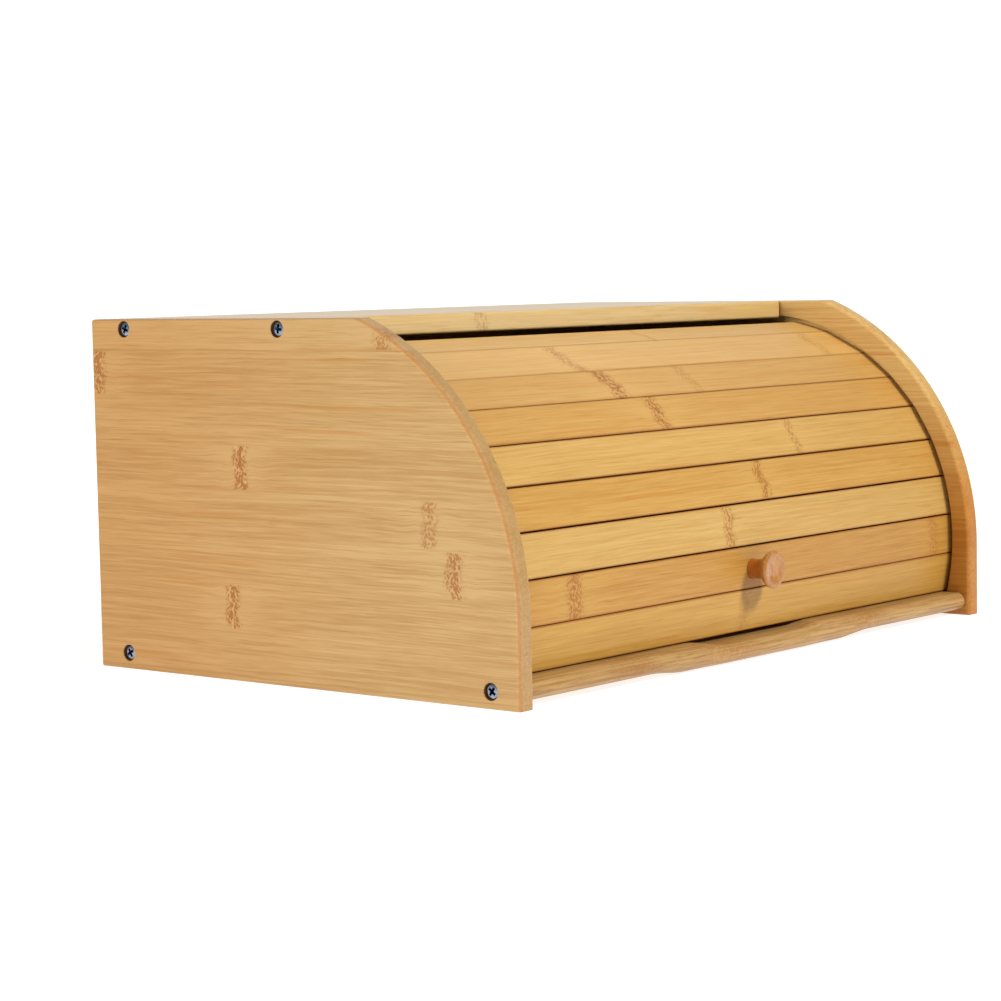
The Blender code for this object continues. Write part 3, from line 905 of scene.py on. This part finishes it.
def make_boards():
    tones = ((0.68, 0.470, 0.182), (0.56, 0.350, 0.112))
    strip = 0.022
    top_marks = (
        (-0.075, -strip, 0.004, 0.006, 0.4),
        (0.060, 0.05, 0.072, 0.006, 0.7),
        (-0.12, 0.094, 0.116, 0.006, 0.7),
    )
    back_marks = (
        (-0.10, 0.044, 0.066, 0.006, 0.7),
        (0.08, 0.088, 0.11, 0.006, 0.8),
        (0.13, 0.022, 0.044, 0.006, 0.6),
    )
    top_look = bamboo("top_board", *tones, 11, top_marks, strip, -strip, coat=0.8, specular=0.5)
    base_look = bamboo("base_board", *tones, 12, top_marks, strip)
    back_look = bamboo("back_panel", *tones, 13, back_marks, strip)
    make_board("bamboo_top_board", "top_board", top_look, ("top_back", "top_front"), rounding=0.0013)
    make_board("bamboo_base_board", "base_board", base_look, ("base_back",))
    make_board("bamboo_back_panel", "back_panel", back_look)

    places = ((-0.11, 0.02), (-0.03, 0.025), (0.09, 0.02))
    rail_marks = tuple((along, -0.01, 0.03, half, 0.32) for along, half in places)
    rail_tones = ((0.455, 0.275, 0.100), (0.285, 0.135, 0.035))
    make_rail(bamboo("front_rail", *rail_tones, 14, rail_marks, contrast=1.6))


def make_slats():
    # Painted shade along each slat's long edges, at the joints, stronger on the lower slats
    joint_shade_colour = (0.30, 0.105, 0.018)
    for number, (light, dark, marks) in enumerate(SLAT_LOOKS_AND_SHEEN, start=1):
        knuckles = [(along, -0.0140, 0.0140, half, strength) for along, half, strength in marks]
        strength = 0.8 if number < 7 else 0.35
        edge = (half_chord(number) - 0.0003, joint_shade_colour, strength)
        # Painted shade: each slat turns darker towards its right end, where the right panel shades it from
        # the key light
        right = (tuple(c * s for c, s in zip(tone, (0.92, 0.89, 0.82))) for tone in (light, dark))
        turn = (0, -0.04, 0.19, *right)
        look = bamboo(f"slat_{number}", light, dark, 20 + number, knuckles, edge=edge, turn=turn)
        make_slat(number, look)


def make_object():
    make_side_panels()
    make_boards()
    make_slats()
    make_cloth(canvas("canvas", (0.62, 0.55, 0.42), (0.34, 0.29, 0.21)))
    make_knob(turned_wood("knob", (0.50, 0.245, 0.060), (0.30, 0.095, 0.010)))
    metal = screw_metal("zinc", (0.34, 0.40, 0.50), 0.26)
    # Painted shade: a near-black blue for the insides of the screws' cross recesses
    recess = screw_metal("painted_recess_shade", (0.02, 0.05, 0.13), 0.35)
    make_panel_screws(metal, recess)
    make_knob_screw(metal, recess)


# ---------------------------------------------------------------- studio

AMBIENT = 0.28  # of the white world, for everything but the camera
SHEEN_TOWARDS = (0.77, 0.64, 0)  # the side of the world that gloss sees brighter


def make_floor():
    bm = bmesh.new()
    bmesh.ops.create_grid(bm, x_segments=1, y_segments=1, size=12)
    floor = link_piece("floor", mesh_from("floor", bm))
    graph = Graph("floor")
    graph.set(Base_Color=(0.45, 0.45, 0.45, 1), Roughness=0.9)
    graph.set(Emission_Color=(1, 1, 1, 1), Emission_Strength=0.80)
    floor.data.materials.append(graph.material)


def make_world():
    """Soft light from all round, white behind the object, and a pale sheen off the flat top."""
    world = bpy.data.worlds.new("studio")
    world.use_nodes = True
    bpy.context.scene.world = world
    tree = world.node_tree
    background = tree.nodes["Background"]
    background.inputs["Color"].default_value = (1, 1, 1, 1)
    path = tree.nodes.new("ShaderNodeLightPath")

    place = tree.nodes.new("ShaderNodeTexCoord")
    behind = tree.nodes.new("ShaderNodeVectorMath")
    behind.operation = "DOT_PRODUCT"
    behind.inputs[1].default_value = SHEEN_TOWARDS
    tree.links.new(place.outputs["Generated"], behind.inputs[0])
    sheen = tree.nodes.new("ShaderNodeMapRange")
    for name, value in (("From Min", 0.55), ("From Max", 0.9), ("To Min", AMBIENT), ("To Max", 0.75)):
        sheen.inputs[name].default_value = value
    tree.links.new(behind.outputs["Value"], sheen.inputs["Value"])

    strength = None
    for ray, value in (("Is Glossy Ray", sheen.outputs["Result"]), ("Is Camera Ray", 1.05)):
        choose = tree.nodes.new("ShaderNodeMix")
        tree.links.new(path.outputs[ray], choose.inputs["Factor"])
        choose.inputs["A"].default_value = AMBIENT
        if strength:
            tree.links.new(strength, choose.inputs["A"])
        if isinstance(value, float):
            choose.inputs["B"].default_value = value
        else:
            tree.links.new(value, choose.inputs["B"])
        strength = choose.outputs["Result"]
    tree.links.new(strength, background.inputs["Strength"])


def make_sun(name, towards, spread_deg, strength):
    """A far light that makes no highlights. towards points from the object to it."""
    light = bpy.data.lights.new(name, "SUN")
    light.angle = math.radians(spread_deg)
    light.energy = strength
    obj = bpy.data.objects.new(name, light)
    bpy.context.scene.collection.objects.link(obj)
    obj.rotation_euler = Vector(towards).to_track_quat("Z", "Y").to_euler()
    obj.visible_glossy = False


CAMERA_PLACE = (-1.1152, -0.8834 + MID_Y, 0.1934)
CAMERA_TURNS = (-50.384, 4.827, -1.114)  # azimuth, elevation, roll in degrees
LENS_MM = 98.08


def make_camera():
    """A long lens, from the left and a little above, turned by one degree."""
    azimuth, elevation, roll = (math.radians(a) for a in CAMERA_TURNS)
    flat = math.cos(elevation)
    back = Vector((math.sin(azimuth) * flat, -math.cos(azimuth) * flat, math.sin(elevation)))
    level = Vector((math.cos(azimuth), math.sin(azimuth), 0))
    upright = back.cross(level)
    right = math.cos(roll) * level + math.sin(roll) * upright
    up = math.cos(roll) * upright - math.sin(roll) * level
    data = bpy.data.cameras.new("camera")
    data.lens = LENS_MM
    data.clip_start = 0.05
    camera = bpy.data.objects.new("camera", data)
    bpy.context.scene.collection.objects.link(camera)
    turn = Matrix((right, up, back)).transposed().to_4x4()
    camera.matrix_world = Matrix.Translation(CAMERA_PLACE) @ turn
    bpy.context.scene.camera = camera


def make_studio():
    make_floor()
    make_world()
    make_sun("key", (0.05, -0.75, 0.65), spread_deg=13, strength=3.0)
    make_sun("left", (-1.0, 0.15, 0.25), spread_deg=24, strength=2.3)
    make_camera()
    bpy.context.scene.view_settings.view_transform = "Standard"


make_object()
make_studio()
